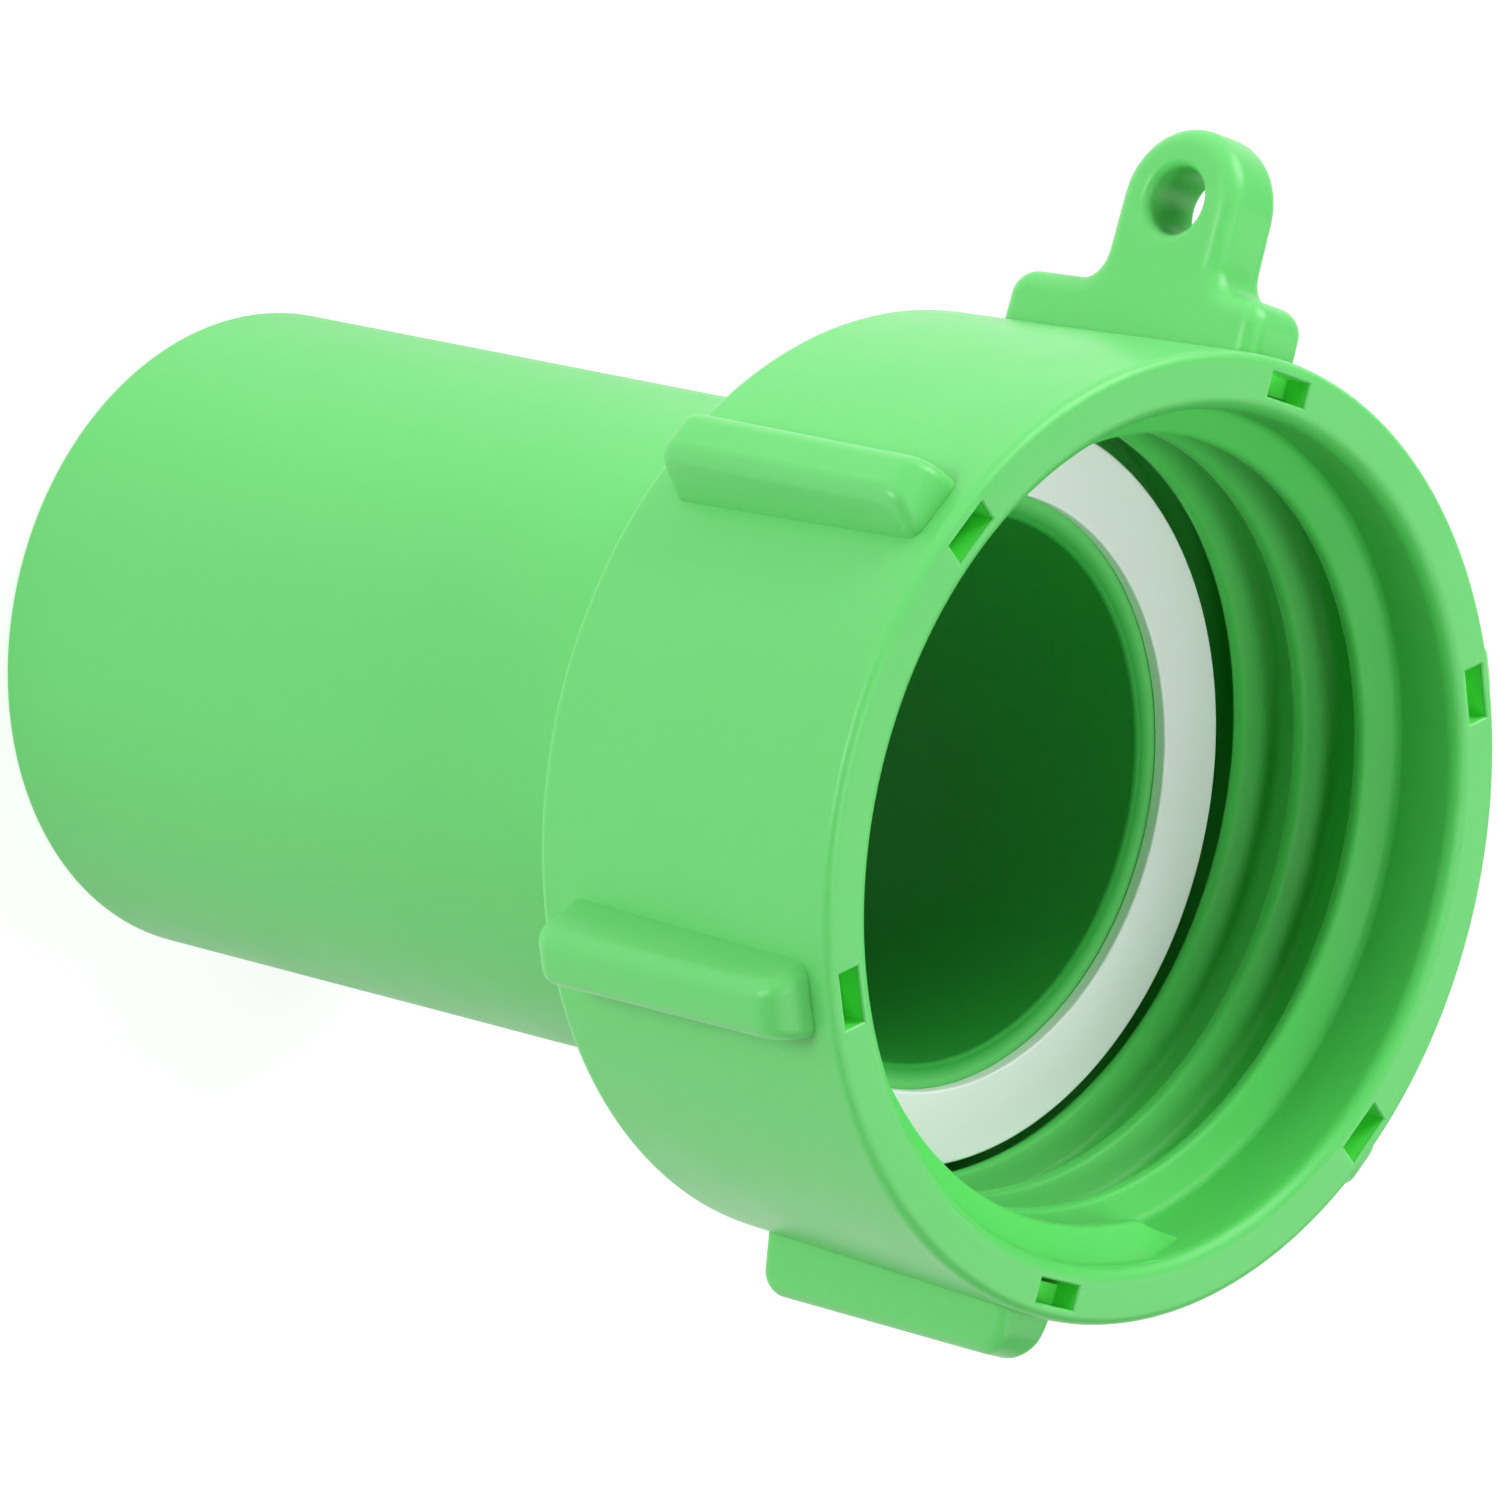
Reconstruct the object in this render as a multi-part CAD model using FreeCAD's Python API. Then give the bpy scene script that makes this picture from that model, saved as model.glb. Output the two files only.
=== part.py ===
import FreeCAD, Part
import math
import os

# Threaded swivel adapter for a bulk container's outlet, millimetres.
# It stands on the free end of its pipe: Z runs up the pipe and out of the nut's
# mouth, the origin is on the axis at the pipe's free end, X points at the lug.

os.makedirs("parts", exist_ok=True)

# Driving sizes of the pipe and its flange.
TUBE_OD = 50.0
TUBE_WALL = 4.7
TUBE_FREE_LENGTH = 68.2
TUBE_END_ROUND = 0.5
NECK_DEPTH = 0.3
NECK_START = 0.1
FLANGE_THICKNESS = 3.4
FLANGE_EDGE_ROUND = 0.4
FLANGE_ROOT_FILLET = 0.4

# Driving sizes of the sealing ring.
GASKET_THICKNESS = 1.15
GASKET_LIP = 1.85
GASKET_EDGE_ROUND = 0.2

# Driving sizes of the nut's shell, built outward from the pipe.
NUT_CLEARANCE = 0.5
SHOULDER_WIDTH = 2.35
FLANGE_CLEARANCE = 0.65
BACK_WALL = 4.2
MOUTH_DEPTH = 21.1
WALL_AT_BACK = 3.35
WALL_AT_MOUTH = 4.3
BACK_ROUND = 1.0
RIM_ROUND = 0.8
MOUTH_ROUND = 1.2
SHOULDER_ROUND = 0.6

# Driving sizes of the internal thread, one start, right hand.
THREAD_PITCH = 6.0
THREAD_DEPTH = 2.5
CREST_LAND = 0.85
FRONT_FLANK = 30.0
REAR_FLANK = 8.0
THREAD_LEAD_IN = 3.7
THREAD_END_ANGLE = 200.0
THREAD_PAST_SEAT = 0.9
SEAT_RELIEF = 0.4
MOUTH_RUN_OUT = 7.0
SEAT_RUN_OUT = 14.0
THREAD_EMBED = 0.6

# Driving sizes of the grip ribs.
RIB_COUNT = 6
RIB_REACH = 4.4
RIB_BASE_WIDTH = 5.8
RIB_CREST_WIDTH = 4.0
RIB_TO_FACE = 2.1
RIB_TO_BACK = 3.4
RIB_MOUTH_CORNER = 2.5
RIB_BACK_CORNER = 1.7
RIB_EDGE_ROUND = 1.1

# Driving sizes of the hanging lug on the first rib.
LUG_RIB_REACH = 3.9
LUG_BASE_WIDTH = 6.2
LUG_TOP_WIDTH = 5.6
EYE_REACH = 10.75
EYE_TO_FACE = 12.7
EYE_HOLE_D = 5.0
EYE_WALL = 3.0
LUG_FILLET = 2.2
LUG_RIB_CORNER = 2.0
LUG_EDGE_ROUND = 1.6
EYE_EDGE_ROUND = 0.8

# Driving sizes of the pockets moulded into the mouth face.
POCKET_LENGTH = 4.2
POCKET_WIDTH = 1.85
POCKET_DEPTH = 4.5
POCKET_FROM_BORE = 1.35

# Levels along the axis.
z_back = TUBE_FREE_LENGTH
z_shoulder = z_back + BACK_WALL
z_flange = z_shoulder + FLANGE_THICKNESS
z_seat = z_flange + GASKET_THICKNESS
z_face = z_seat + MOUTH_DEPTH
nut_height = z_face - z_back
z_rib_low = z_back + RIB_TO_BACK
z_rib_high = z_face - RIB_TO_FACE
z_eye = z_face - EYE_TO_FACE

# Radii from the axis outward.
r_tube = TUBE_OD / 2
r_neck = r_tube - NECK_DEPTH
r_bore = r_tube - TUBE_WALL
r_nut_hole = r_tube + NUT_CLEARANCE
r_flange = r_nut_hole + SHOULDER_WIDTH
r_gasket_bore = r_bore + GASKET_LIP
r_crest = r_flange + FLANGE_CLEARANCE
r_root = r_crest + THREAD_DEPTH
r_seat_room = r_crest + SEAT_RELIEF
r_back = r_root + WALL_AT_BACK
r_mouth = r_root + WALL_AT_MOUTH
shell_slope = (r_mouth - r_back) / nut_height
r_rib_root = r_root + WALL_AT_BACK / 2
r_rib = r_back + RIB_REACH
r_eye = r_back + EYE_REACH

# The crest cutter's seam is kept away from the quarter turn of thread that it cuts.
SEAM_ANGLE = 225
SAME_POINT = 1e-6
UP = FreeCAD.Vector(0, 0, 1)
ORIGIN = FreeCAD.Vector(0, 0, 0)


def shell_radius(z):
    """Outside radius of the nut's slightly tapered shell at height z."""
    return r_back + shell_slope * (z - z_back)


def lug_rib_radius(z):
    """Crest of the lug's rib, which follows the shell's taper, at height z."""
    return shell_radius(z) + LUG_RIB_REACH


def rounded_face(corners):
    """Flat face from (point, corner radius) pairs; a radius of 0 keeps the corner sharp."""
    count = len(corners)
    starts, ends, middles = [], [], []
    for i, (point, radius) in enumerate(corners):
        to_last = (corners[i - 1][0] - point).normalize()
        to_next = (corners[(i + 1) % count][0] - point).normalize()
        half = to_last.getAngle(to_next) / 2
        reach = radius / math.tan(half)
        starts.append(point + to_last * reach)
        ends.append(point + to_next * reach)
        bisector = (to_last + to_next).normalize()
        middles.append(point + bisector * (radius / math.sin(half) - radius))
    edges = []
    for i in range(count):
        if corners[i][1] > 0:
            edges.append(Part.Arc(starts[i], middles[i], ends[i]).toShape())
        next_start = starts[(i + 1) % count]
        if ends[i].distanceToPoint(next_start) > SAME_POINT:
            edges.append(Part.LineSegment(ends[i], next_start).toShape())
    return Part.Face(Part.Wire(edges))


def turned(corners):
    """Solid of revolution about Z from (radius, height, corner radius) triples."""
    outline = [(FreeCAD.Vector(r, 0, z), rounding) for r, z, rounding in corners]
    return rounded_face(outline).revolve(ORIGIN, UP, 360)


def edges_between(shape, keep):
    """Edges of a shape whose middle point passes the test."""
    chosen = []
    for edge in shape.Edges:
        middle = edge.valueAt((edge.FirstParameter + edge.LastParameter) / 2)
        if keep(middle):
            chosen.append(edge)
    return chosen


def make_tail_pipe():
    """Plain pipe with a flange at its upper end and a shallow neck where the nut turns."""
    return turned([
        (r_bore, 0, 0),
        (r_tube, 0, TUBE_END_ROUND),
        (r_tube, z_back + NECK_START, 0),
        (r_neck, z_back + NECK_START, 0),
        (r_neck, z_shoulder, FLANGE_ROOT_FILLET),
        (r_flange, z_shoulder, FLANGE_EDGE_ROUND),
        (r_flange, z_flange, FLANGE_EDGE_ROUND),
        (r_bore, z_flange, FLANGE_EDGE_ROUND),
    ])


def make_gasket():
    """Flat sealing ring that lies on the flange."""
    return turned([
        (r_gasket_bore, z_flange, GASKET_EDGE_ROUND),
        (r_flange, z_flange, GASKET_EDGE_ROUND),
        (r_flange, z_seat, GASKET_EDGE_ROUND),
        (r_gasket_bore, z_seat, GASKET_EDGE_ROUND),
    ])


def make_shell():
    """Tapered shell of the nut with its back wall and smooth bore."""
    return turned([
        (r_nut_hole, z_back, 0),
        (r_back, z_back, BACK_ROUND),
        (r_mouth, z_face, RIM_ROUND),
        (r_root, z_face, MOUTH_ROUND),
        (r_root, z_shoulder, SHOULDER_ROUND),
        (r_nut_hole, z_shoulder, 0),
    ])


def side_prism(corners, half_width):
    """Prism through the axis plane from (height, radius, corner radius) triples."""
    outline = [(FreeCAD.Vector(r, -half_width, z), rounding) for z, r, rounding in corners]
    return rounded_face(outline).extrude(FreeCAD.Vector(0, 2 * half_width, 0))


def draft_prism(foot, top, z_low, z_high):
    """Prism along Z whose width changes evenly from (radius, width) to (radius, width)."""
    outline = [
        (FreeCAD.Vector(foot[0], -foot[1] / 2, z_low), 0),
        (FreeCAD.Vector(foot[0], foot[1] / 2, z_low), 0),
        (FreeCAD.Vector(top[0], top[1] / 2, z_low), 0),
        (FreeCAD.Vector(top[0], -top[1] / 2, z_low), 0),
    ]
    return rounded_face(outline).extrude(UP * (z_high - z_low))


def drafted_plate(corners, foot, top, edge_round):
    """Plate with a side outline, drafted sides and both outlines rounded."""
    slope = (top[1] - foot[1]) / (top[0] - foot[0])
    r_low = corners[0][1]
    r_high = max(corner[1] for corner in corners) + edge_round
    low = (r_low, foot[1] + slope * (r_low - foot[0]))
    high = (r_high, foot[1] + slope * (r_high - foot[0]))
    section = draft_prism(low, high, z_rib_low, z_rib_high)
    plate = side_prism(corners, max(low[1], high[1])).common(section)
    outlines = edges_between(plate, lambda p: abs(p.y) > SAME_POINT and p.x > r_low + SAME_POINT)
    return plate.makeFillet(edge_round, outlines)


def make_rib():
    """One grip rib, rooted in the shell, its crest parallel to the axis."""
    corners = [
        (z_rib_low, r_rib_root, 0),
        (z_rib_low, r_rib, RIB_BACK_CORNER),
        (z_rib_high, r_rib, RIB_MOUTH_CORNER),
        (z_rib_high, r_rib_root, 0),
    ]
    foot = (shell_radius((z_rib_low + z_rib_high) / 2), RIB_BASE_WIDTH)
    return drafted_plate(corners, foot, (r_rib, RIB_CREST_WIDTH), RIB_EDGE_ROUND)


def make_lug_rib():
    """The rib that rises into a round-topped lug with an eyelet hole for a cap's strap."""
    half = EYE_HOLE_D / 2 + EYE_WALL
    corners = [
        (z_rib_low, r_rib_root, 0),
        (z_rib_low, lug_rib_radius(z_rib_low), LUG_RIB_CORNER),
        (z_eye - half, lug_rib_radius(z_eye - half), LUG_FILLET),
        (z_eye - half, r_eye + half, half),
        (z_eye + half, r_eye + half, half),
        (z_eye + half, lug_rib_radius(z_eye + half), LUG_FILLET),
        (z_rib_high, lug_rib_radius(z_rib_high), LUG_RIB_CORNER),
        (z_rib_high, r_rib_root, 0),
    ]
    foot = (shell_radius(z_eye), LUG_BASE_WIDTH)
    top = (r_eye + half, LUG_TOP_WIDTH)
    plate = drafted_plate(corners, foot, top, LUG_EDGE_ROUND)
    eye = FreeCAD.Vector(r_eye, -LUG_BASE_WIDTH, z_eye)
    across = FreeCAD.Vector(0, 1, 0)
    plate = plate.cut(Part.makeCylinder(EYE_HOLE_D / 2, 2 * LUG_BASE_WIDTH, eye, across))
    reach = EYE_HOLE_D / 2 + SAME_POINT
    around_hole = edges_between(plate, lambda p: math.hypot(p.x - r_eye, p.z - z_eye) < reach)
    rims = [edge for edge in around_hole if edge.isClosed()]
    return plate.makeFillet(EYE_EDGE_ROUND, rims)


def make_pocket():
    """Small rectangular pocket in the mouth face, in line with a rib."""
    corner = FreeCAD.Vector(r_root + POCKET_FROM_BORE, -POCKET_LENGTH / 2, z_face - POCKET_DEPTH)
    return Part.makeBox(POCKET_WIDTH, POCKET_LENGTH, 2 * POCKET_DEPTH, corner)


def around_axis(shape, angle):
    """Copy of a shape turned about the axis."""
    return shape.rotated(ORIGIN, UP, angle)


def polar(radius, angle, z):
    """Point from cylindrical coordinates, the angle in degrees."""
    return FreeCAD.Vector(
        radius * math.cos(math.radians(angle)),
        radius * math.sin(math.radians(angle)),
        z,
    )


def make_ridge_quarter():
    """A quarter turn of the thread ridge, its crest cut to a true cylinder.

    It starts at angle 0 with the crest's rear edge at height 0. The front flank faces
    the mouth and slopes; the rear flank carries the load and is steep.
    """
    rear_slope = math.tan(math.radians(REAR_FLANK))
    front_slope = math.tan(math.radians(FRONT_FLANK))
    section = []
    for radius in (r_crest - THREAD_EMBED, r_root + THREAD_EMBED):
        height = radius - r_crest
        section.append(FreeCAD.Vector(radius, 0, -height * rear_slope))
        section.insert(0, FreeCAD.Vector(radius, 0, CREST_LAND + height * front_slope))
    outline = Part.makePolygon(section + [section[0]])
    path = Part.Wire(Part.makeHelix(THREAD_PITCH, THREAD_PITCH / 4, r_root).Edges)
    ridge = path.makePipeShell([outline], True, True)
    core = Part.makeCylinder(r_crest, 4 * THREAD_PITCH, UP * (-2 * THREAD_PITCH))
    return ridge.cut(around_axis(core, SEAM_ANGLE))


def run_out_cutter(angle_full, angle_gone, z_low, z_high):
    """Block whose flat side lets the ridge fade from full height into the wall."""
    full = polar(r_crest, angle_full, z_low)
    gone = polar(r_root, angle_gone, z_low)
    along = (gone - full).normalize()
    inward = polar(-2 * r_root, (angle_full + angle_gone) / 2, 0)
    start = full - along * THREAD_EMBED
    stop = gone + along * r_root
    block = Part.Face(Part.makePolygon([start, stop, stop + inward, start + inward, start]))
    return block.extrude(UP * (z_high - z_low))


def make_thread():
    """Ridge quarters up to the mouth, faded at both ends.

    The ridge starts beside the sealing ring, where its crest is relieved to leave the
    flange and the ring room.
    """
    z_gone = z_face - THREAD_LEAD_IN + THREAD_PITCH * MOUTH_RUN_OUT / 360
    z_deep = z_seat - THREAD_PAST_SEAT
    angle_top = THREAD_END_ANGLE + MOUTH_RUN_OUT
    turn_angle = 360 * (z_gone - z_deep) / THREAD_PITCH
    angle_deep = angle_top - turn_angle
    quarter = make_ridge_quarter()
    count = math.ceil(turn_angle / 90)
    quarters = []
    for k in range(count):
        angle = angle_top - 90 * (k + 1)
        piece = around_axis(quarter, angle)
        piece.translate(UP * (z_gone - THREAD_PITCH * (k + 1) / 4))
        quarters.append(piece)
    top_cut = run_out_cutter(THREAD_END_ANGLE, angle_top, z_gone - THREAD_PITCH, z_face)
    z_below, z_above = z_deep - THREAD_PITCH, z_deep + THREAD_PITCH
    deep_cut = run_out_cutter(angle_deep + SEAT_RUN_OUT, angle_deep, z_below, z_above)
    seat_room = Part.makeCylinder(r_seat_room, z_seat - z_shoulder, UP * z_shoulder)
    seat_room = around_axis(seat_room, angle_deep + 180)
    quarters[0] = quarters[0].cut(top_cut)
    quarters[-1] = quarters[-1].cut(deep_cut)
    quarters[-2] = quarters[-2].cut(deep_cut)
    return [piece.cut(seat_room) for piece in quarters]


def make_union_nut():
    """The nut as one moulding: shell, ribs, lug, pockets and thread."""
    rib_step = 360 / RIB_COUNT
    ribs = [around_axis(make_rib(), rib_step * k) for k in range(1, RIB_COUNT)]
    nut = make_shell().fuse([make_lug_rib()] + ribs)
    pockets = [around_axis(make_pocket(), rib_step * k) for k in range(RIB_COUNT)]
    nut = nut.cut(Part.makeCompound(pockets))
    return nut.fuse(make_thread())


def save(name, shape):
    """Write one piece after checking that it is a single sound solid."""
    if len(shape.Solids) != 1 or not shape.isValid():
        raise ValueError(name + " is not one valid solid")
    shape.Solids[0].exportStep("parts/" + name + ".step")
    print(name, "volume cm3", round(shape.Volume / 1000, 2), "faces", len(shape.Faces))


save("tail_pipe", make_tail_pipe())
save("gasket", make_gasket())
save("union_nut", make_union_nut())
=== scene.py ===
import math

import bpy
import bmesh
from mathutils import Matrix, Vector


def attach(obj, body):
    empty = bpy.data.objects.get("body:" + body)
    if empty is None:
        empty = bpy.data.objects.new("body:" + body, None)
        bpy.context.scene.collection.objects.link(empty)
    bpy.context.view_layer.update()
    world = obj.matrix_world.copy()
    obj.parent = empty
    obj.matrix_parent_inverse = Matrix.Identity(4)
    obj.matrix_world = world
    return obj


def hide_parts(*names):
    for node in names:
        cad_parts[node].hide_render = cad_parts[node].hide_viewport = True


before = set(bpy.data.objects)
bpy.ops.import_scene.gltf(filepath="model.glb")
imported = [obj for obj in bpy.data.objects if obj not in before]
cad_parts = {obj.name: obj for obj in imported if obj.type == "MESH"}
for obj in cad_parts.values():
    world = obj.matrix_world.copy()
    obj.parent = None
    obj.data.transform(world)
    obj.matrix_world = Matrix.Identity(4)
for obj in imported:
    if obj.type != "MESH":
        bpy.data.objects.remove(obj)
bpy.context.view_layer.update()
scene = bpy.context.scene

# Tail pipe
# A plain 50 mm pipe end with a flange at its upper end, injection moulded in green
# polypropylene. Its outline is turned about the Z axis, and it stands on its free end.
MM = 0.001
PIPE_OUTER = 25.0
PIPE_NECK = 24.7
PIPE_BORE = 20.3
PIPE_END_ROUND = 0.5
NECK_LOW = 68.3
SHOULDER = 72.4
FLANGE_OUTER = 27.85
FLANGE_TOP = 75.8
FLANGE_ROUND = 0.4
TURN_SEGMENTS = 288
ARC_STEPS = 8
RUN_STEP = 6.0
MERGE_DISTANCE = 0.0001 * MM
SHARP_ANGLE = 32
FLAT_WEIGHT = 100
PLASTIC_IOR = 1.49
CLOUD_SCALE = 55.0
SMEAR_SCALE = 140.0
SMEAR_RANGE = (0.3, 0.7)
GLOSS_SPREAD = 0.03
GRAIN_SCALE = 2600.0
GRAIN_STRENGTH = 0.35
GRAIN_DEPTH = 0.04
BORE_RADIUS = 21.2
INNER_BLEND = 0.5
INNER_DULLNESS = 0.12
PIPE_GREEN = (0.135, 0.60, 0.155, 1)
PIPE_GREEN_SHADE = (0.125, 0.575, 0.145, 1)
# Painted shade for the pipe's bore and the flange's inner edge: a deep dark green.
BORE_PAINTED_SHADE = (0.03, 0.38, 0.05, 1)
PIPE_ROUGHNESS = 0.42
PIPE_GLOSS = 0.27


def rounded_outline(corners, inset=0.0):
    """Closed outline from anticlockwise (x, y, radius) corners, moved inward by inset."""
    points = []
    count = len(corners)
    for i, (x, y, radius) in enumerate(corners):
        here = Vector((x, y))
        before = (here - Vector(corners[i - 1][:2])).normalized()
        after = (Vector(corners[(i + 1) % count][:2]) - here).normalized()
        side_before = Vector((-before.y, before.x))
        side_after = Vector((-after.y, after.x))
        here = here + (side_before + side_after) * (inset / (1 + side_before.dot(side_after)))
        turn = math.atan2(before.cross(after), before.dot(after))
        if radius == 0:
            points.append(here)
            continue
        bend = radius - math.copysign(inset, turn)
        reach = bend * math.tan(abs(turn) / 2)
        centre = here - before * reach + side_before * math.copysign(bend, turn)
        arm = here - before * reach - centre
        for k in range(ARC_STEPS + 1):
            angle = turn * k / ARC_STEPS
            points.append(centre + Matrix.Rotation(angle, 2) @ arm)
    return points


def split_runs(points, longest):
    """The same closed outline with its long straight runs divided evenly."""
    divided = []
    for here, following in zip(points, points[1:] + points[:1]):
        parts = max(1, math.ceil((following - here).length / longest))
        divided += [here.lerp(following, k / parts) for k in range(parts)]
    return divided


def outline_mesh(name, points):
    """Vertices of an outline in the XZ plane, in metres."""
    mesh = bpy.data.meshes.new(name)
    mesh.from_pydata([(p.x * MM, 0, p.y * MM) for p in points], [], [])
    return mesh


def new_tree(name, inputs):
    """Geometry tree with named inputs; returns it with its input node."""
    tree = bpy.data.node_groups.new(name, "GeometryNodeTree")
    for label, kind in inputs:
        tree.interface.new_socket(label, in_out="INPUT", socket_type="NodeSocket" + kind)
    tree.interface.new_socket("Geometry", in_out="OUTPUT", socket_type="NodeSocketGeometry")
    return tree, tree.nodes.new("NodeGroupInput")


def add_node(tree, kind, inputs=(), **settings):
    """Node with its settings made and its inputs set or linked, by index or by name."""
    node = tree.nodes.new(kind)
    for key, value in settings.items():
        setattr(node, key, value)
    for index, value in dict(inputs).items():
        if isinstance(value, bpy.types.NodeSocket):
            tree.links.new(value, node.inputs[index])
        else:
            node.inputs[index].default_value = value
    return node


def work_out(tree, operation, first, second=0.0):
    """Output of a math node."""
    node = add_node(tree, "ShaderNodeMath", {0: first, 1: second}, operation=operation)
    return node.outputs[0]


def end_tree(tree, geometry, finish):
    """Close a tree with Realize Instances and Set Material."""
    realized = add_node(tree, "GeometryNodeRealizeInstances", {0: geometry})
    dressed = add_node(tree, "GeometryNodeSetMaterial", {0: realized.outputs[0], 2: finish})
    out = tree.nodes.new("NodeGroupOutput")
    tree.links.new(dressed.outputs[0], out.inputs[0])


def row_and_column(tree, columns):
    """Row and column of each grid vertex, as number sockets."""
    index = add_node(tree, "GeometryNodeInputIndex").outputs[0]
    middle = work_out(tree, "ADD", index, 0.5)
    row = work_out(tree, "FLOOR", work_out(tree, "DIVIDE", middle, columns))
    column = work_out(tree, "SUBTRACT", index, work_out(tree, "MULTIPLY", row, columns))
    return row, column


def evaluated_mesh(source):
    """Plain mesh of an object with its modifiers applied; the object is removed."""
    if source.name not in scene.collection.objects:
        scene.collection.objects.link(source)
    depsgraph = bpy.context.evaluated_depsgraph_get()
    mesh = bpy.data.meshes.new_from_object(source.evaluated_get(depsgraph), depsgraph=depsgraph)
    bpy.data.objects.remove(source)
    return mesh


def grow(tree, start, **values):
    """Mesh that a geometry tree makes from a start mesh, its inputs set by identifier."""
    source = bpy.data.objects.new("source", start)
    modifier = source.modifiers.new("tree", "NODES")
    modifier.node_group = tree
    for item in tree.interface.items_tree:
        if item.in_out == "INPUT" and item.name in values:
            modifier[item.identifier] = values[item.name]
    return evaluated_mesh(source)


def face_outward(mesh):
    """Make a closed mesh's faces point outward."""
    work = bmesh.new()
    work.from_mesh(mesh)
    bmesh.ops.remove_doubles(work, verts=work.verts, dist=MERGE_DISTANCE)
    bmesh.ops.recalc_face_normals(work, faces=work.faces)
    work.to_mesh(mesh)
    work.free()
    return mesh


def finished(name, mesh, material, body):
    """Object of a piece: smooth shading that keeps flats flat and edges crisp."""
    mesh.materials.clear()
    mesh.materials.append(material)
    mesh.shade_smooth()
    mesh.set_sharp_from_angle(angle=math.radians(SHARP_ANGLE))
    source = bpy.data.objects.new(name + "_source", mesh)
    weighted = source.modifiers.new("flats", "WEIGHTED_NORMAL")
    weighted.keep_sharp = True
    weighted.weight = FLAT_WEIGHT
    final = evaluated_mesh(source)
    final.name = name
    piece = bpy.data.objects.new(name, final)
    scene.collection.objects.link(piece)
    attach(piece, body)
    return piece


def plastic(name, tint, shade, roughness, gloss, grain_depth):
    """Smooth moulded plastic: cloudy tint, uneven gloss and a fine tool-surface grain."""
    material = bpy.data.materials.new(name)
    material.use_nodes = True
    tree = material.node_tree
    shader = tree.nodes["Principled BSDF"]
    shader.inputs["IOR"].default_value = PLASTIC_IOR
    shader.inputs["Specular IOR Level"].default_value = gloss
    place = add_node(tree, "ShaderNodeTexCoord").outputs["Object"]
    cloud = add_node(tree, "ShaderNodeTexNoise", {
        "Vector": place, "Scale": CLOUD_SCALE, "Detail": 3.0})
    colours = add_node(tree, "ShaderNodeMix", {0: cloud.outputs[0], 6: shade, 7: tint},
                       data_type="RGBA")
    tree.links.new(colours.outputs[2], shader.inputs["Base Color"])
    smear = add_node(tree, "ShaderNodeTexNoise", {
        "Vector": place, "Scale": SMEAR_SCALE, "Detail": 2.0})
    uneven = add_node(tree, "ShaderNodeMapRange", {
        0: smear.outputs[0], 1: SMEAR_RANGE[0], 2: SMEAR_RANGE[1],
        3: roughness - GLOSS_SPREAD, 4: roughness + GLOSS_SPREAD})
    tree.links.new(uneven.outputs[0], shader.inputs["Roughness"])
    grain = add_node(tree, "ShaderNodeTexNoise", {
        "Vector": place, "Scale": GRAIN_SCALE, "Detail": 2.0})
    bump = add_node(tree, "ShaderNodeBump", {
        "Height": grain.outputs[0], "Strength": GRAIN_STRENGTH, "Distance": grain_depth * MM})
    tree.links.new(bump.outputs[0], shader.inputs["Normal"])
    return material


def linked_to(shader, label):
    """Output that feeds one of a shader's inputs."""
    return shader.inputs[label].links[0].from_socket


def retint(material, factor, tint):
    """Mix a tint over a material's colour, by a factor socket."""
    tree = material.node_tree
    shader = tree.nodes["Principled BSDF"]
    under = linked_to(shader, "Base Color")
    mixed = add_node(tree, "ShaderNodeMix", {0: factor, 6: under, 7: tint}, data_type="RGBA")
    tree.links.new(mixed.outputs[2], shader.inputs["Base Color"])


def radius_and_height(tree):
    """Distance from the axis and height of the shaded point, as sockets in metres."""
    place = add_node(tree, "ShaderNodeTexCoord").outputs["Object"]
    flat = add_node(tree, "ShaderNodeVectorMath", {0: place, 1: (1, 1, 0)}, operation="MULTIPLY")
    radius = add_node(tree, "ShaderNodeVectorMath", {0: flat.outputs[0]}, operation="LENGTH")
    height = add_node(tree, "ShaderNodeSeparateXYZ", {0: place}).outputs[2]
    return radius.outputs["Value"], height


def paint_shade_and_dull_inside(material, limit, tint):
    """Painted shade: inside a radius the colour is mixed to a deeper green for the dim interior,
    and the mould's core dulls the surface.
    """
    tree = material.node_tree
    shader = tree.nodes["Principled BSDF"]
    radius, _ = radius_and_height(tree)
    inner = add_node(tree, "ShaderNodeMapRange", {
        0: radius, 1: (limit - INNER_BLEND) * MM, 2: (limit + INNER_BLEND) * MM, 3: 1.0, 4: 0.0})
    retint(material, inner.outputs[0], tint)
    duller = work_out(tree, "MULTIPLY", inner.outputs[0], INNER_DULLNESS)
    roughness = work_out(tree, "ADD", linked_to(shader, "Roughness"), duller)
    tree.links.new(roughness, shader.inputs["Roughness"])


pipe_finish = plastic("pipe_plastic", PIPE_GREEN, PIPE_GREEN_SHADE, PIPE_ROUGHNESS, PIPE_GLOSS,
                      GRAIN_DEPTH)
# Painted shade: the bore and the flange's inner edge get a deep dark green.
paint_shade_and_dull_inside(pipe_finish, BORE_RADIUS, BORE_PAINTED_SHADE)

turned, entry = new_tree("Turned solid", [
    ("Outline", "Geometry"), ("Outline Points", "Int"), ("Segments", "Int"),
    ("Finish", "Material")])
columns = work_out(turned, "ADD", entry.outputs["Segments"], 1.0)
rows = work_out(turned, "ADD", entry.outputs["Outline Points"], 1.0)
grid = add_node(turned, "GeometryNodeMeshGrid", {2: rows, 3: columns})
row, column = row_and_column(turned, columns)
on_outline = work_out(turned, "MODULO", row, entry.outputs["Outline Points"])
corner = add_node(turned, "GeometryNodeSampleIndex", {
    0: entry.outputs["Outline"],
    1: add_node(turned, "GeometryNodeInputPosition").outputs[0],
    2: on_outline}, data_type="FLOAT_VECTOR")
share = work_out(turned, "DIVIDE", column, entry.outputs["Segments"])
angle = work_out(turned, "MULTIPLY", share, math.tau)
swung = add_node(turned, "ShaderNodeVectorRotate", {0: corner.outputs[0], 3: angle},
                 rotation_type="Z_AXIS")
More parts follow.
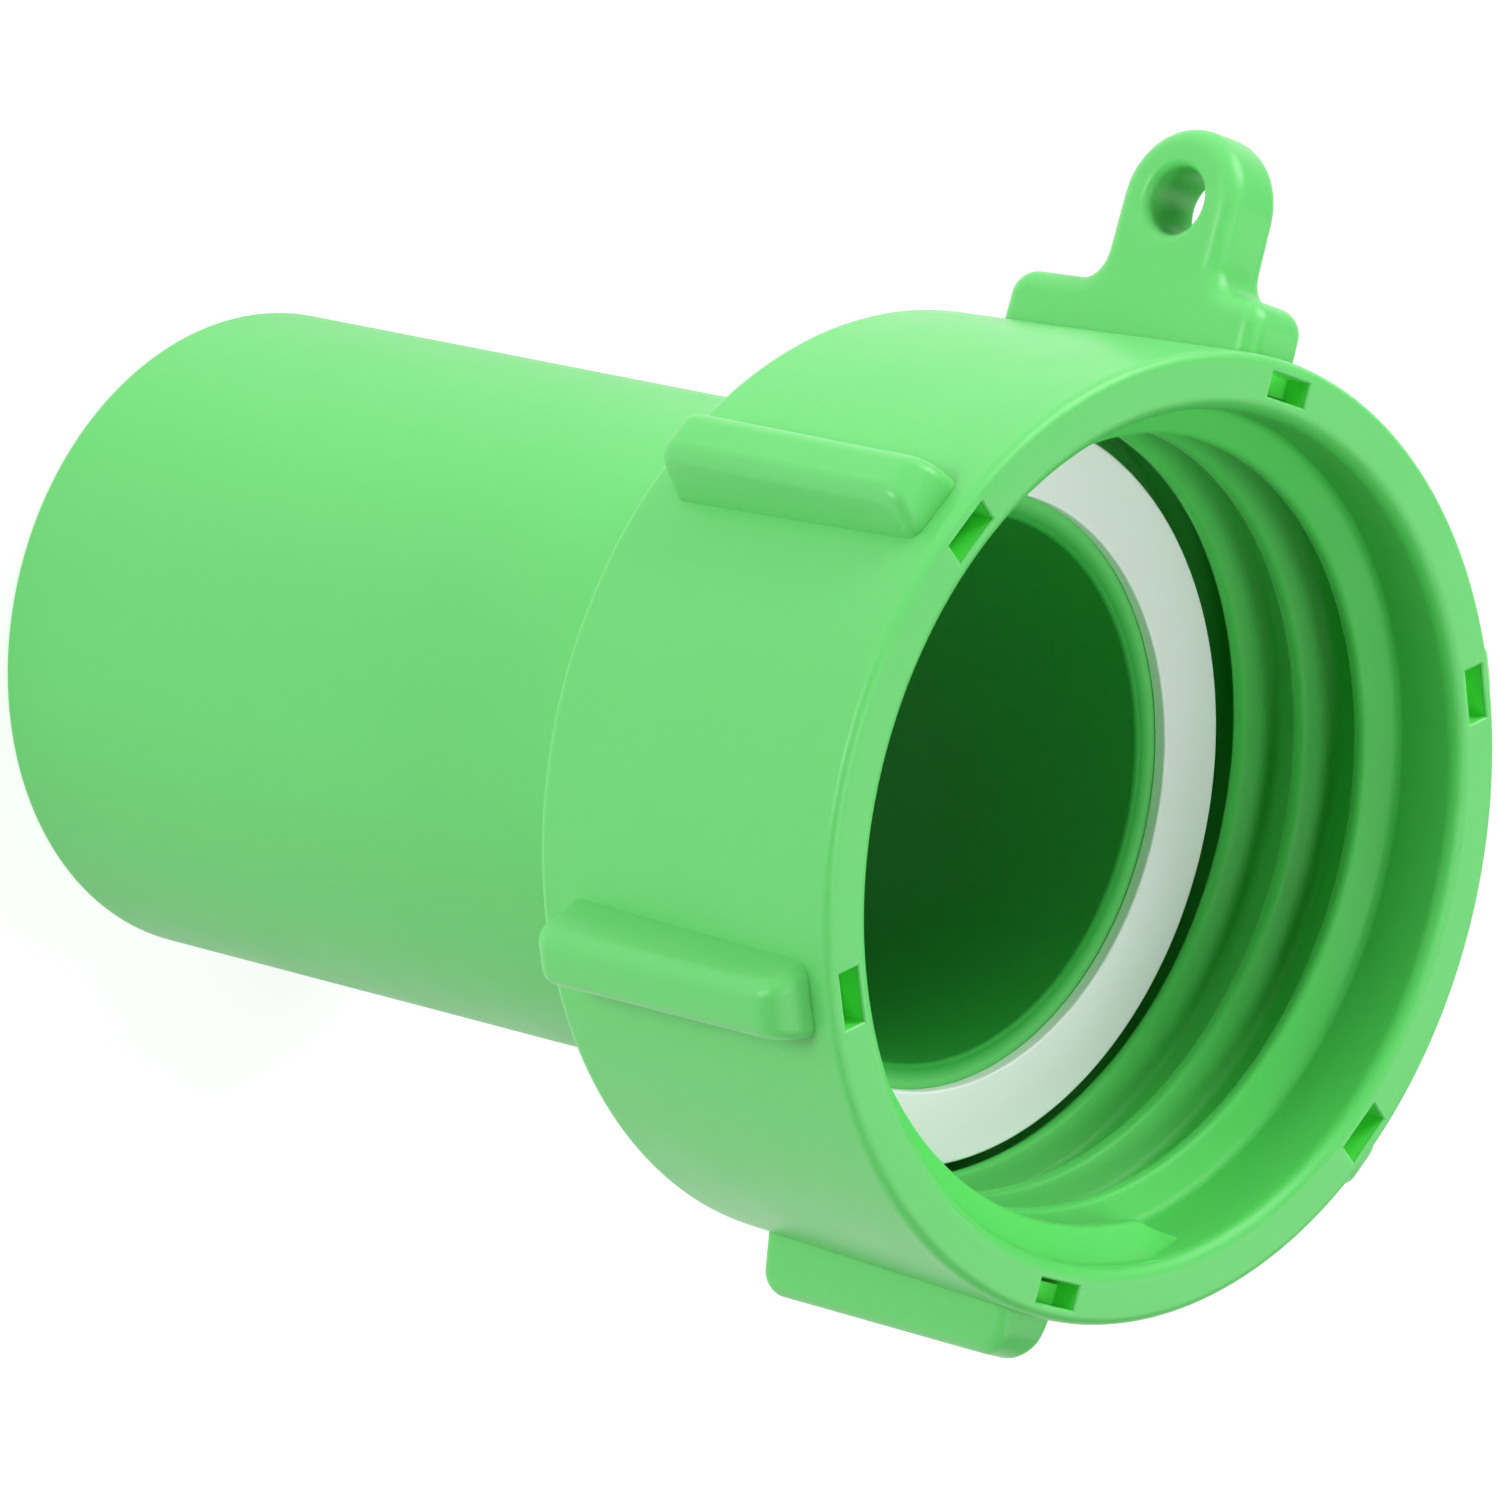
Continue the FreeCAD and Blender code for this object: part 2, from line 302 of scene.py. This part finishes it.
placed = add_node(turned, "GeometryNodeSetPosition", {0: grid.outputs[0], 2: swung.outputs[0]})
closed = add_node(turned, "GeometryNodeMergeByDistance", {
    0: placed.outputs[0], 2: MERGE_DISTANCE})
end_tree(turned, closed.outputs[0], entry.outputs["Finish"])


def turn(name, corners, finish):
    """Solid of revolution from (radius, height, corner radius) triples, in millimetres."""
    points = split_runs(rounded_outline(corners), RUN_STEP)
    start = outline_mesh(name, points)
    values = {"Outline Points": len(points), "Segments": TURN_SEGMENTS, "Finish": finish}
    return face_outward(grow(turned, start, **values))


pipe_mesh = turn("tail_pipe", [
    (PIPE_BORE, 0, 0),
    (PIPE_OUTER, 0, PIPE_END_ROUND),
    (PIPE_OUTER, NECK_LOW, 0),
    (PIPE_NECK, NECK_LOW, 0),
    (PIPE_NECK, SHOULDER, FLANGE_ROUND),
    (FLANGE_OUTER, SHOULDER, FLANGE_ROUND),
    (FLANGE_OUTER, FLANGE_TOP, FLANGE_ROUND),
    (PIPE_BORE, FLANGE_TOP, FLANGE_ROUND),
], pipe_finish)
pipe = finished("pipe_with_flange", pipe_mesh, pipe_finish, "tail_pipe")
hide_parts("tail_pipe")

# Gasket
# The flat white sealing ring, cut from soft rubber sheet. It lies loose on the pipe's
# flange, where the container's outlet presses on it.
GASKET_BORE = 22.15
GASKET_TOP = 76.95
GASKET_ROUND = 0.2
SEAL_WHITE = (0.96, 0.99, 0.99, 1)
SEAL_WHITE_SHADE = (0.94, 0.98, 0.97, 1)
SEAL_ROUGHNESS = 0.45
SEAL_GLOSS = 0.35
SEAL_GRAIN_DEPTH = 0.03

seal_finish = plastic("seal_rubber", SEAL_WHITE, SEAL_WHITE_SHADE, SEAL_ROUGHNESS, SEAL_GLOSS,
                      SEAL_GRAIN_DEPTH)
gasket_mesh = turn("gasket", [
    (GASKET_BORE, FLANGE_TOP, GASKET_ROUND),
    (FLANGE_OUTER, FLANGE_TOP, GASKET_ROUND),
    (FLANGE_OUTER, GASKET_TOP, GASKET_ROUND),
    (GASKET_BORE, GASKET_TOP, GASKET_ROUND),
], seal_finish)
gasket = finished("sealing_ring", gasket_mesh, seal_finish, "tail_pipe")
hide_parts("gasket")

# Union nut
# The ribbed nut, one injection moulding in the same green polypropylene. Its back wall
# turns on the pipe's neck and its coarse thread draws the flange against the container.
NUT_BACK = 68.2
NUT_FACE = 98.05
NUT_HOLE = 25.5
SHELL_BACK = 34.35
SHELL_MOUTH = 35.3
ROOT = 31.0
BACK_ROUND = 1.0
RIM_ROUND = 0.8
MOUTH_ROUND = 1.2
SHOULDER_ROUND = 0.6
NUT_GREEN = (0.138, 0.61, 0.158, 1)
NUT_GREEN_SHADE = (0.128, 0.585, 0.148, 1)
# Painted shade for the nut's thread side: a deeper, more saturated green.
THREAD_PAINTED_SHADE = (0.09, 0.62, 0.11, 1)
THREAD_SIDE_RADIUS = 31.5
NUT_ROUGHNESS = 0.36
NUT_GLOSS = 0.35
TRANSLUCENCY = 0.5
LIGHT_REACH = 1.0

nut_finish = plastic("nut_plastic", NUT_GREEN, NUT_GREEN_SHADE, NUT_ROUGHNESS, NUT_GLOSS,
                     GRAIN_DEPTH)
# Painted shade: the thread side inside the nut gets a deeper, more saturated green.
paint_shade_and_dull_inside(nut_finish, THREAD_SIDE_RADIUS, THREAD_PAINTED_SHADE)
nut_shader = nut_finish.node_tree.nodes["Principled BSDF"]
nut_shader.inputs["Subsurface Weight"].default_value = TRANSLUCENCY
nut_shader.inputs["Subsurface Radius"].default_value = (1.0, 1.0, 1.0)
nut_shader.inputs["Subsurface Scale"].default_value = LIGHT_REACH * MM
shell_mesh = turn("shell", [
    (NUT_HOLE, NUT_BACK, 0),
    (SHELL_BACK, NUT_BACK, BACK_ROUND),
    (SHELL_MOUTH, NUT_FACE, RIM_ROUND),
    (ROOT, NUT_FACE, MOUTH_ROUND),
    (ROOT, SHOULDER, SHOULDER_ROUND),
    (NUT_HOLE, SHOULDER, 0),
], nut_finish)

# Grip ribs and lug of the nut
# Six drafted ribs stand on the nut's outside. The first rises into a round-topped lug
# with an eyelet hole for a cap's strap; all are part of the nut's moulding.
RIB_COUNT = 6
RIB_ROOT = 32.675
RIB_OUTER = 38.75
RIB_LOW = 71.6
RIB_HIGH = 95.95
RIB_MOUTH_CORNER = 2.5
RIB_BACK_CORNER = 1.7
RIB_ROUND = 1.1
RIB_WIDTHS = ((34.82, 5.8), (38.75, 4.0))
EYE_RADIUS = 45.1
EYE_HEIGHT = 85.35
EYE_HOLE = 2.5
EYE_REACH = 5.5
EYE_ROUND = 0.8
LUG_REACH = 3.9
LUG_FILLET = 2.2
LUG_CORNER = 2.0
LUG_ROUND = 1.6
LUG_WIDTHS = ((34.9, 6.2), (50.6, 5.6))
BEYOND = 1.0


def half_width(widths, radius):
    """Half the width of a drafted plate at a radius."""
    (low, wide), (high, narrow) = widths
    return (wide + (narrow - wide) * (radius - low) / (high - low)) / 2


def lug_rib_radius(z):
    """Crest of the lug's rib, which follows the shell's taper."""
    up_the_nut = (z - NUT_BACK) / (NUT_FACE - NUT_BACK)
    return LUG_REACH + SHELL_BACK + (SHELL_MOUTH - SHELL_BACK) * up_the_nut


def plate(name, corners, widths, edge_round):
    """Closed plate in the XZ plane with drafted sides and both outlines rounded."""
    layers = []
    for k in range(ARC_STEPS + 1):
        angle = math.pi / 2 * k / ARC_STEPS
        layers.append((edge_round * (1 - math.sin(angle)), edge_round * (1 - math.cos(angle))))
    sides = [(inset, -1, drop) for inset, drop in layers]
    sides += [(inset, 1, drop) for inset, drop in reversed(layers)]
    mesh = bmesh.new()
    rings = []
    for inset, side, drop in sides:
        ring = []
        for x, z in rounded_outline(corners, inset):
            y = side * (half_width(widths, x) - drop)
            ring.append(mesh.verts.new((x * MM, y * MM, z * MM)))
        rings.append(ring)
    for ring, following in zip(rings, rings[1:]):
        for i in range(len(ring)):
            j = (i + 1) % len(ring)
            mesh.faces.new((ring[i], ring[j], following[j], following[i]))
    mesh.faces.new(rings[0])
    mesh.faces.new(rings[-1])
    bmesh.ops.remove_doubles(mesh, verts=mesh.verts, dist=MERGE_DISTANCE)
    bmesh.ops.recalc_face_normals(mesh, faces=mesh.faces)
    result = bpy.data.meshes.new(name)
    mesh.to_mesh(result)
    mesh.free()
    return result


def combined(mesh, others, operation):
    """Mesh joined with or cut by others."""
    source = bpy.data.objects.new("source", mesh)
    scene.collection.objects.link(source)
    tools = []
    for other in others:
        tool = bpy.data.objects.new("tool", other)
        scene.collection.objects.link(tool)
        step = source.modifiers.new("step", "BOOLEAN")
        step.operation = operation
        step.solver = "MANIFOLD"
        step.object = tool
        tools.append(tool)
    result = evaluated_mesh(source)
    for tool in tools:
        bpy.data.objects.remove(tool)
    return result


rib_mesh = plate("rib", [
    (RIB_ROOT, RIB_LOW, 0),
    (RIB_OUTER, RIB_LOW, RIB_BACK_CORNER),
    (RIB_OUTER, RIB_HIGH, RIB_MOUTH_CORNER),
    (RIB_ROOT, RIB_HIGH, 0),
], RIB_WIDTHS, RIB_ROUND)

lug_mesh = plate("lug", [
    (RIB_ROOT, RIB_LOW, 0),
    (lug_rib_radius(RIB_LOW), RIB_LOW, LUG_CORNER),
    (lug_rib_radius(EYE_HEIGHT - EYE_REACH), EYE_HEIGHT - EYE_REACH, LUG_FILLET),
    (EYE_RADIUS + EYE_REACH, EYE_HEIGHT - EYE_REACH, EYE_REACH),
    (EYE_RADIUS + EYE_REACH, EYE_HEIGHT + EYE_REACH, EYE_REACH),
    (lug_rib_radius(EYE_HEIGHT + EYE_REACH), EYE_HEIGHT + EYE_REACH, LUG_FILLET),
    (lug_rib_radius(RIB_HIGH), RIB_HIGH, LUG_CORNER),
    (RIB_ROOT, RIB_HIGH, 0),
], LUG_WIDTHS, LUG_ROUND)

eye_half = half_width(LUG_WIDTHS, EYE_RADIUS)
eye_mesh = turn("eye", [
    (0, -eye_half - BEYOND, 0),
    (EYE_HOLE + EYE_ROUND, -eye_half - BEYOND, 0),
    (EYE_HOLE + EYE_ROUND, -eye_half, 0),
    (EYE_HOLE, -eye_half, EYE_ROUND),
    (EYE_HOLE, eye_half, EYE_ROUND),
    (EYE_HOLE + EYE_ROUND, eye_half, 0),
    (EYE_HOLE + EYE_ROUND, eye_half + BEYOND, 0),
    (0, eye_half + BEYOND, 0),
], nut_finish)
eye_centre = Matrix.Translation((EYE_RADIUS * MM, 0, EYE_HEIGHT * MM))
eye_mesh.transform(eye_centre @ Matrix.Rotation(math.pi / 2, 4, "X"))
for vertex in eye_mesh.vertices:
    vertex.co.y *= half_width(LUG_WIDTHS, vertex.co.x / MM) / eye_half
lug_mesh = combined(lug_mesh, [eye_mesh], "DIFFERENCE")

ring_tree, entry = new_tree("Copies round the axis", [
    ("Copy", "Geometry"), ("Places", "Int"), ("First Place", "Int"), ("Count", "Int"),
    ("Finish", "Material")])
points = add_node(ring_tree, "GeometryNodePoints", {0: entry.outputs["Count"]})
index = add_node(ring_tree, "GeometryNodeInputIndex").outputs[0]
place = work_out(ring_tree, "ADD", index, entry.outputs["First Place"])
share = work_out(ring_tree, "DIVIDE", place, entry.outputs["Places"])
angle = work_out(ring_tree, "MULTIPLY", share, math.tau)
facing = add_node(ring_tree, "FunctionNodeAxisAngleToRotation", {0: (0, 0, 1), 1: angle})
copies = add_node(ring_tree, "GeometryNodeInstanceOnPoints", {
    0: points.outputs[0], 2: entry.outputs["Copy"], 5: facing.outputs[0]})
end_tree(ring_tree, copies.outputs[0], entry.outputs["Finish"])

ribs_mesh = grow(ring_tree, rib_mesh, **{
    "Places": RIB_COUNT, "First Place": 1, "Count": RIB_COUNT - 1, "Finish": nut_finish})

# Pockets of the nut
# Six small blind pockets in the mouth face, one in line with each rib, left by the
# mould's locating pins. Their mouths are slightly broken, as ejected plastic is.
POCKET_INNER = 32.35
POCKET_WIDTH = 1.85
POCKET_LENGTH = 4.2
POCKET_DEPTH = 4.5
POCKET_BREAK = 0.12
GLOW_RADIUS = 33.28
GLOW_RADIUS_REACH = 1.05
GLOW_HEIGHT = 95.5
GLOW_HEIGHT_REACH = 2.3
# Painted light for the thin walls round the pockets: a bright, clear green.
THIN_WALL_PAINTED_LIGHT = (0.13, 0.82, 0.12, 1)


def pocket_cutter():
    """Box with a small flare where it passes the mouth face."""
    mesh = bmesh.new()
    middle = POCKET_INNER + POCKET_WIDTH / 2
    rings = []
    levels = ((-POCKET_DEPTH, 0), (-POCKET_BREAK, 0), (0, POCKET_BREAK), (BEYOND, POCKET_BREAK))
    for z, wider in levels:
        half_x = POCKET_WIDTH / 2 + wider
        half_y = POCKET_LENGTH / 2 + wider
        corners = [(-half_x, -half_y), (half_x, -half_y), (half_x, half_y), (-half_x, half_y)]
        rings.append([mesh.verts.new(((middle + x) * MM, y * MM, (NUT_FACE + z) * MM))
                      for x, y in corners])
    for ring, following in zip(rings, rings[1:]):
        for i in range(4):
            j = (i + 1) % 4
            mesh.faces.new((ring[i], ring[j], following[j], following[i]))
    mesh.faces.new(rings[0])
    mesh.faces.new(rings[-1])
    bmesh.ops.recalc_face_normals(mesh, faces=mesh.faces)
    result = bpy.data.meshes.new("pocket")
    mesh.to_mesh(result)
    mesh.free()
    return result


def paint_light_through_thin_walls(material):
    """Painted light: the thin walls round the pockets are tinted a brighter, clear green, for the
    light that comes through them.
    """
    tree = material.node_tree
    radius, height = radius_and_height(tree)
    within = add_node(tree, "ShaderNodeMath", {
        0: radius, 1: GLOW_RADIUS * MM, 2: GLOW_RADIUS_REACH * MM}, operation="COMPARE")
    between = add_node(tree, "ShaderNodeMath", {
        0: height, 1: GLOW_HEIGHT * MM, 2: GLOW_HEIGHT_REACH * MM}, operation="COMPARE")
    glow = work_out(tree, "MULTIPLY", within.outputs[0], between.outputs[0])
    retint(material, glow, THIN_WALL_PAINTED_LIGHT)


# Painted light: a brighter green on the walls round the pockets.
paint_light_through_thin_walls(nut_finish)
pockets_mesh = grow(ring_tree, pocket_cutter(), **{
    "Places": RIB_COUNT, "First Place": 0, "Count": RIB_COUNT, "Finish": nut_finish})

# Thread of the nut
# One right-hand ridge of 6 mm pitch, steep behind and sloping in front, with softly
# rounded crest edges and a hollow at its foot, as the mould's unscrewing core leaves it.
CREST = 28.5
PITCH = 6.0
CREST_LAND = 0.85
FRONT_FLANK = 30.0
FRONT_CREST_ROUND = 0.7
FRONT_FOOT_ROUND = 1.0
FRONT_FOOT_RUN = 0.7
REAR_FLANK = 8.0
REAR_CREST_ROUND = 0.3
REAR_FOOT_ROUND = 0.4
REAR_FOOT_RUN = 0.4
LEAD_IN = 3.7
PAST_SEAT = 0.9
SEAT_ROOM = 28.9
END_ANGLE = 200.0
MOUTH_RUN_OUT = 8.0
SEAT_RUN_OUT = 14.0
SUNK = 0.02
EMBED = 0.6
STEPS_A_TURN = 240
SECTION_STEP = 0.5
SLIVER = 0.002 * MM

helical, entry = new_tree("Helical ridge", [
    ("Section", "Geometry"), ("Section Points", "Int"), ("Steps", "Int"), ("Pitch", "Float"),
    ("First Angle", "Float"), ("Whole Angle", "Float"), ("First Height", "Float"),
    ("Depth", "Float"), ("First Fade", "Float"), ("Last Fade", "Float"), ("Finish", "Material")])
columns = work_out(helical, "ADD", entry.outputs["Steps"], 1.0)
rows = work_out(helical, "ADD", entry.outputs["Section Points"], 1.0)
grid = add_node(helical, "GeometryNodeMeshGrid", {2: rows, 3: columns})
row, column = row_and_column(helical, columns)
on_section = work_out(helical, "MODULO", row, entry.outputs["Section Points"])
corner = add_node(helical, "GeometryNodeSampleIndex", {
    0: entry.outputs["Section"],
    1: add_node(helical, "GeometryNodeInputPosition").outputs[0],
    2: on_section}, data_type="FLOAT_VECTOR")
share = work_out(helical, "DIVIDE", column, entry.outputs["Steps"])
turned_by = work_out(helical, "MULTIPLY", share, entry.outputs["Whole Angle"])
left = work_out(helical, "SUBTRACT", entry.outputs["Whole Angle"], turned_by)
first_share = work_out(helical, "DIVIDE", turned_by, entry.outputs["First Fade"])
last_share = work_out(helical, "DIVIDE", left, entry.outputs["Last Fade"])
stands = work_out(helical, "MINIMUM", work_out(helical, "MINIMUM", first_share, last_share), 1.0)
missing = work_out(helical, "SUBTRACT", 1.0, stands)
sinks = work_out(helical, "MULTIPLY", missing, entry.outputs["Depth"])
outward = add_node(helical, "ShaderNodeCombineXYZ", {0: sinks})
sunk = add_node(helical, "ShaderNodeVectorMath", {0: corner.outputs[0], 1: outward.outputs[0]},
                operation="ADD")
angle = work_out(helical, "ADD", turned_by, entry.outputs["First Angle"])
swung = add_node(helical, "ShaderNodeVectorRotate", {0: sunk.outputs[0], 3: angle},
                 rotation_type="Z_AXIS")
rise = work_out(helical, "DIVIDE", entry.outputs["Pitch"], math.tau)
risen = work_out(helical, "MULTIPLY", turned_by, rise)
height = work_out(helical, "ADD", risen, entry.outputs["First Height"])
lift = add_node(helical, "ShaderNodeCombineXYZ", {2: height})
placed = add_node(helical, "GeometryNodeSetPosition", {
    0: grid.outputs[0], 2: swung.outputs[0], 3: lift.outputs[0]})
closed = add_node(helical, "GeometryNodeMergeByDistance", {
    0: placed.outputs[0], 2: MERGE_DISTANCE})
end_tree(helical, closed.outputs[0], entry.outputs["Finish"])

front = math.tan(math.radians(FRONT_FLANK))
rear = math.tan(math.radians(REAR_FLANK))
foot = ROOT + SUNK
rear_foot = -(foot - CREST) * rear
front_foot = CREST_LAND + (foot - CREST) * front
section = rounded_outline([
    (ROOT + EMBED, rear_foot - REAR_FOOT_RUN, 0),
    (foot, rear_foot - REAR_FOOT_RUN, 0),
    (foot, rear_foot, REAR_FOOT_ROUND),
    (CREST, 0, REAR_CREST_ROUND),
    (CREST, CREST_LAND, FRONT_CREST_ROUND),
    (foot, front_foot, FRONT_FOOT_ROUND),
    (foot, front_foot + FRONT_FOOT_RUN, 0),
    (ROOT + EMBED, front_foot + FRONT_FOOT_RUN, 0),
][::-1])
section = split_runs(section, SECTION_STEP)
height_gone = NUT_FACE - LEAD_IN + PITCH * MOUTH_RUN_OUT / 360
height_deep = GASKET_TOP - PAST_SEAT
turn_angle = 360 * (height_gone - height_deep) / PITCH
ridge_mesh = grow(helical, outline_mesh("section", section), **{
    "Section Points": len(section), "Steps": math.ceil(turn_angle * STEPS_A_TURN / 360),
    "Pitch": PITCH * MM, "First Angle": math.radians(END_ANGLE + MOUTH_RUN_OUT - turn_angle),
    "Whole Angle": math.radians(turn_angle), "First Height": height_deep * MM,
    "Depth": (foot - CREST) * MM, "First Fade": math.radians(SEAT_RUN_OUT),
    "Last Fade": math.radians(MOUTH_RUN_OUT), "Finish": nut_finish})


def cap_ends(mesh):
    """Close the two open ends of a swept ridge."""
    work = bmesh.new()
    work.from_mesh(mesh)
    bmesh.ops.holes_fill(work, edges=[e for e in work.edges if e.is_boundary])
    bmesh.ops.recalc_face_normals(work, faces=work.faces)
    work.to_mesh(mesh)
    work.free()
    return mesh


def without_slivers(mesh):
    """Mesh with the needle-thin faces that cutting and joining leave melted away."""
    work = bmesh.new()
    work.from_mesh(mesh)
    bmesh.ops.dissolve_degenerate(work, edges=work.edges, dist=SLIVER)
    bmesh.ops.triangulate(work, faces=work.faces)
    work.to_mesh(mesh)
    work.free()
    return mesh


seat_room = turn("seat_room", [
    (0, SHOULDER, 0),
    (SEAT_ROOM, SHOULDER, 0),
    (SEAT_ROOM, GASKET_TOP, 0),
    (0, GASKET_TOP, 0),
], nut_finish)
ridge_mesh = combined(cap_ends(ridge_mesh), [seat_room], "DIFFERENCE")

nut_mesh = combined(shell_mesh, [pockets_mesh], "DIFFERENCE")
nut_mesh = without_slivers(combined(nut_mesh, [ribs_mesh, lug_mesh, ridge_mesh], "UNION"))
nut = finished("ribbed_union_nut", nut_mesh, nut_finish, "union_nut")
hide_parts("union_nut")

# Floor
# A plain pale sheet under the part, lit from within like a photographer's light table,
# so that the ground stays white without a hard shadow.
FLOOR_REACH = 3.0
FLOOR_GREY = 0.3
FLOOR_ROUGHNESS = 0.9
FLOOR_GLOW = 0.78

floor_corners = [(x * FLOOR_REACH, y * FLOOR_REACH, 0)
                 for x, y in ((-1, -1), (1, -1), (1, 1), (-1, 1))]
floor_mesh = bpy.data.meshes.new("floor")
floor_mesh.from_pydata(floor_corners, [], [(0, 1, 2, 3)])
floor = bpy.data.objects.new("floor", floor_mesh)
scene.collection.objects.link(floor)
pale = bpy.data.materials.new("pale_floor")
pale.use_nodes = True
pale_shader = pale.node_tree.nodes["Principled BSDF"]
pale_shader.inputs["Base Color"].default_value = (FLOOR_GREY, FLOOR_GREY, FLOOR_GREY, 1)
pale_shader.inputs["Roughness"].default_value = FLOOR_ROUGHNESS
pale_shader.inputs["Emission Color"].default_value = (1, 1, 1, 1)
pale_shader.inputs["Emission Strength"].default_value = FLOOR_GLOW
floor_mesh.materials.append(pale)

# Camera
# A long lens that looks down into the nut's mouth at about 43 degrees, rolled so that
# the lug points up and the pipe runs to the left.
LENS = 234.569
SENSOR_WIDTH = 36
CLIP_START = 0.01
CAMERA_PLACE = (-0.020196, 0.527715, 0.553615)
RIGHT = Vector((0.248654, -0.659864, 0.709048))
UP = Vector((0.968205, 0.189953, -0.162762))
BACK = Vector((-0.027285, 0.726975, 0.686119))

camera_data = bpy.data.cameras.new("camera")
camera_data.lens = LENS
camera_data.sensor_width = SENSOR_WIDTH
camera_data.clip_start = CLIP_START
camera = bpy.data.objects.new("camera", camera_data)
aim = Matrix((RIGHT, UP, BACK)).transposed().to_4x4()
camera.matrix_world = Matrix.Translation(CAMERA_PLACE) @ aim
scene.collection.objects.link(camera)
scene.camera = camera

# Light
# Soft studio light: large panels above and to the right in the camera's view, two small
# ones before the nut's mouth, one that faces the pipe's side and one at the nut's edge.
MIDDLE = Vector((0.0, 0.0, 0.06))
LARGE = 0.6
SMALL = 0.25

world = bpy.data.worlds.new("studio")
scene.world = world
world.use_nodes = True
world.node_tree.nodes["Background"].inputs["Strength"].default_value = 0.0


def panel(name, away, size, power):
    """Square light panel that faces the part, with its offset and size in metres."""
    lamp = bpy.data.lights.new(name, "AREA")
    lamp.shape = "SQUARE"
    lamp.size = size
    lamp.energy = power
    light = bpy.data.objects.new(name, lamp)
    light.location = MIDDLE + away
    light.rotation_euler = (-away).to_track_quat("-Z", "Y").to_euler()
    scene.collection.objects.link(light)


def in_view(right, up, back):
    """Offset along the camera's own directions."""
    return RIGHT * right + UP * up + BACK * back


panel("upper_right_panel", in_view(0.60, 0.70, 0.20), LARGE, 7.9)
panel("upper_panel", in_view(0.0, 0.60, 0.80), LARGE, 1.05)
panel("lower_right_panel", in_view(0.70, -0.60, 0.40), LARGE, 2.5)
panel("right_panel", in_view(0.95, -0.35, -0.10), LARGE, 2.1)
panel("mouth_panel", in_view(0.851, -0.196, 0.823), SMALL, 1.8)
panel("mouth_side_panel", in_view(0.551, -0.186, 1.050), SMALL, 2.5)
panel("pipe_side_panel", Vector((0.0, 1.0, -0.03)), 0.35, 7.5)
panel("nut_edge_panel", Vector((-0.6, 0.15, 0.78)), 0.3, 1.1)

scene.view_settings.view_transform = "Standard"
